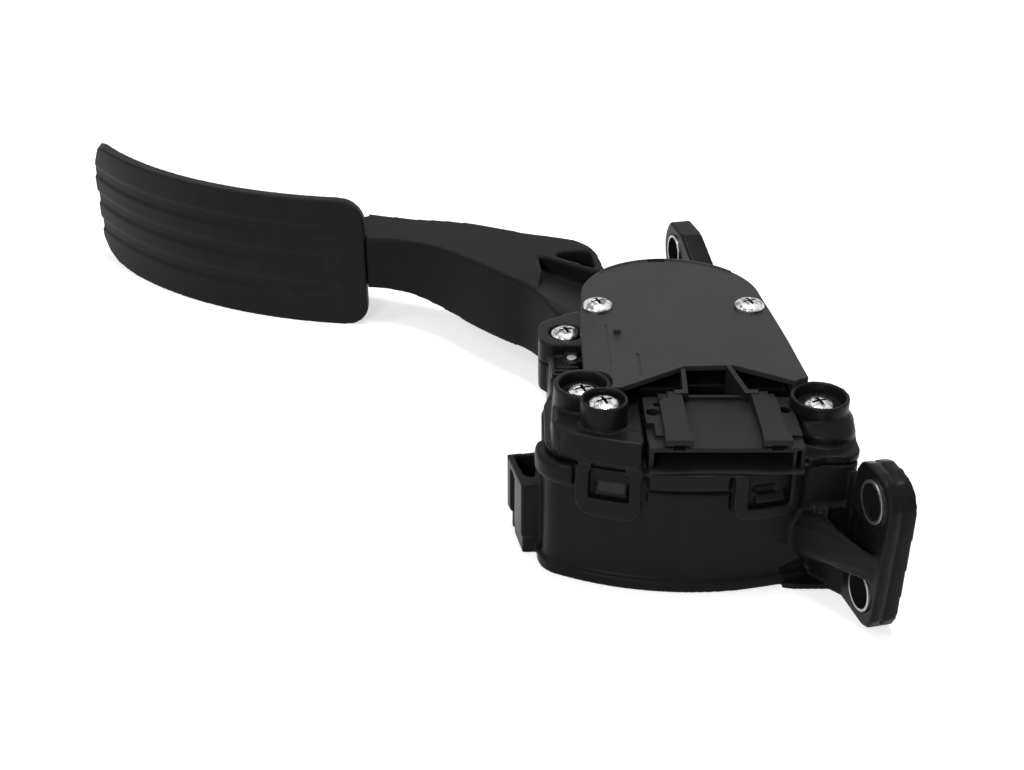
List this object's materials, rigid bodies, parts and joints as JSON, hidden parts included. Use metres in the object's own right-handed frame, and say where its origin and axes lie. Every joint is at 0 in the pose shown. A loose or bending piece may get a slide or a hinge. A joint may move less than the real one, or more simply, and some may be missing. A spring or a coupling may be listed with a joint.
{
  "type": "accelerator pedal",
  "caption": "Electronic accelerator pedal module: floor-bent arm with grooved pad, hinged in a drum-fronted housing with sensor lid, plug socket and sleeved mounting lugs.",
  "frame": {"origin": "middle of the two-sleeve flange pattern, on the mounting face", "axes": "+Y out of the mounting face toward the bulkhead, +Z along the pedal's swing axis (up as the module lies on its side), +X toward the plug end"},
  "size_m": [0.3153, 0.2167, 0.0546],
  "materials": {
    "housing_plastic": "black moulded plastic, worn satin",
    "cover_plastic": "black moulded plastic, worn satin",
    "lid_plastic": "dark grey moulded plastic, fine grain",
    "connector_plastic": "black moulded plastic",
    "arm_plastic": "black glass-filled plastic, fine grain",
    "pad_plastic": "black moulded plastic, scuffed satin",
    "seal_rubber": "black rubber",
    "stop_rubber": "black rubber",
    "pin_brass": "plated brass",
    "board_resin": "coated board",
    "plated_screw": "bright plated steel",
    "sleeve_steel": "plated steel",
    "shaft_steel": "ground steel",
    "spring_steel": "spring wire",
    "locating_pin_steel": "dull steel",
    "bush_plastic": "natural bearing plastic",
    "guide_plastic": "dark moulded plastic",
    "magnet_ferrite": "sintered magnet"
  },
  "bodies": {
    "base": {"housing": "housing_plastic", "upper_cover": "cover_plastic", "sensor_lid": "lid_plastic", "lid_seal": "seal_rubber", "connector_shell": "connector_plastic", "connector_pins": "pin_brass", "sensor_board": "board_resin", "lid_screws": "plated_screw", "cover_screws": "plated_screw", "flange_sleeves": "sleeve_steel", "ear_sleeve": "sleeve_steel", "lower_bush": "bush_plastic", "upper_bush": "bush_plastic", "spring_guide": "guide_plastic", "outer_return_spring": "spring_steel", "inner_return_spring": "spring_steel", "idle_stop_bumper": "stop_rubber", "full_stop_bumper": "stop_rubber", "locating_pin": "locating_pin_steel"},
    "pedal": {"pedal_arm": "arm_plastic", "pedal_pad": "pad_plastic", "pivot_shaft": "shaft_steel", "magnet_carrier": "guide_plastic", "magnet": "magnet_ferrite", "spring_seat": "guide_plastic", "friction_shoe": "bush_plastic"}
  },
  "joints": [
    {"name": "pedal_swing", "type": "hinge", "parent": "base", "child": "pedal", "pos_m": [-0.10478, -0.02887, 0], "axis": [0, 0, -1], "range_deg": [0, 18], "stiffness_Nm_per_rad": 6, "springref_deg": -34.38, "deforming": ["outer_return_spring", "inner_return_spring"]}
  ]
}
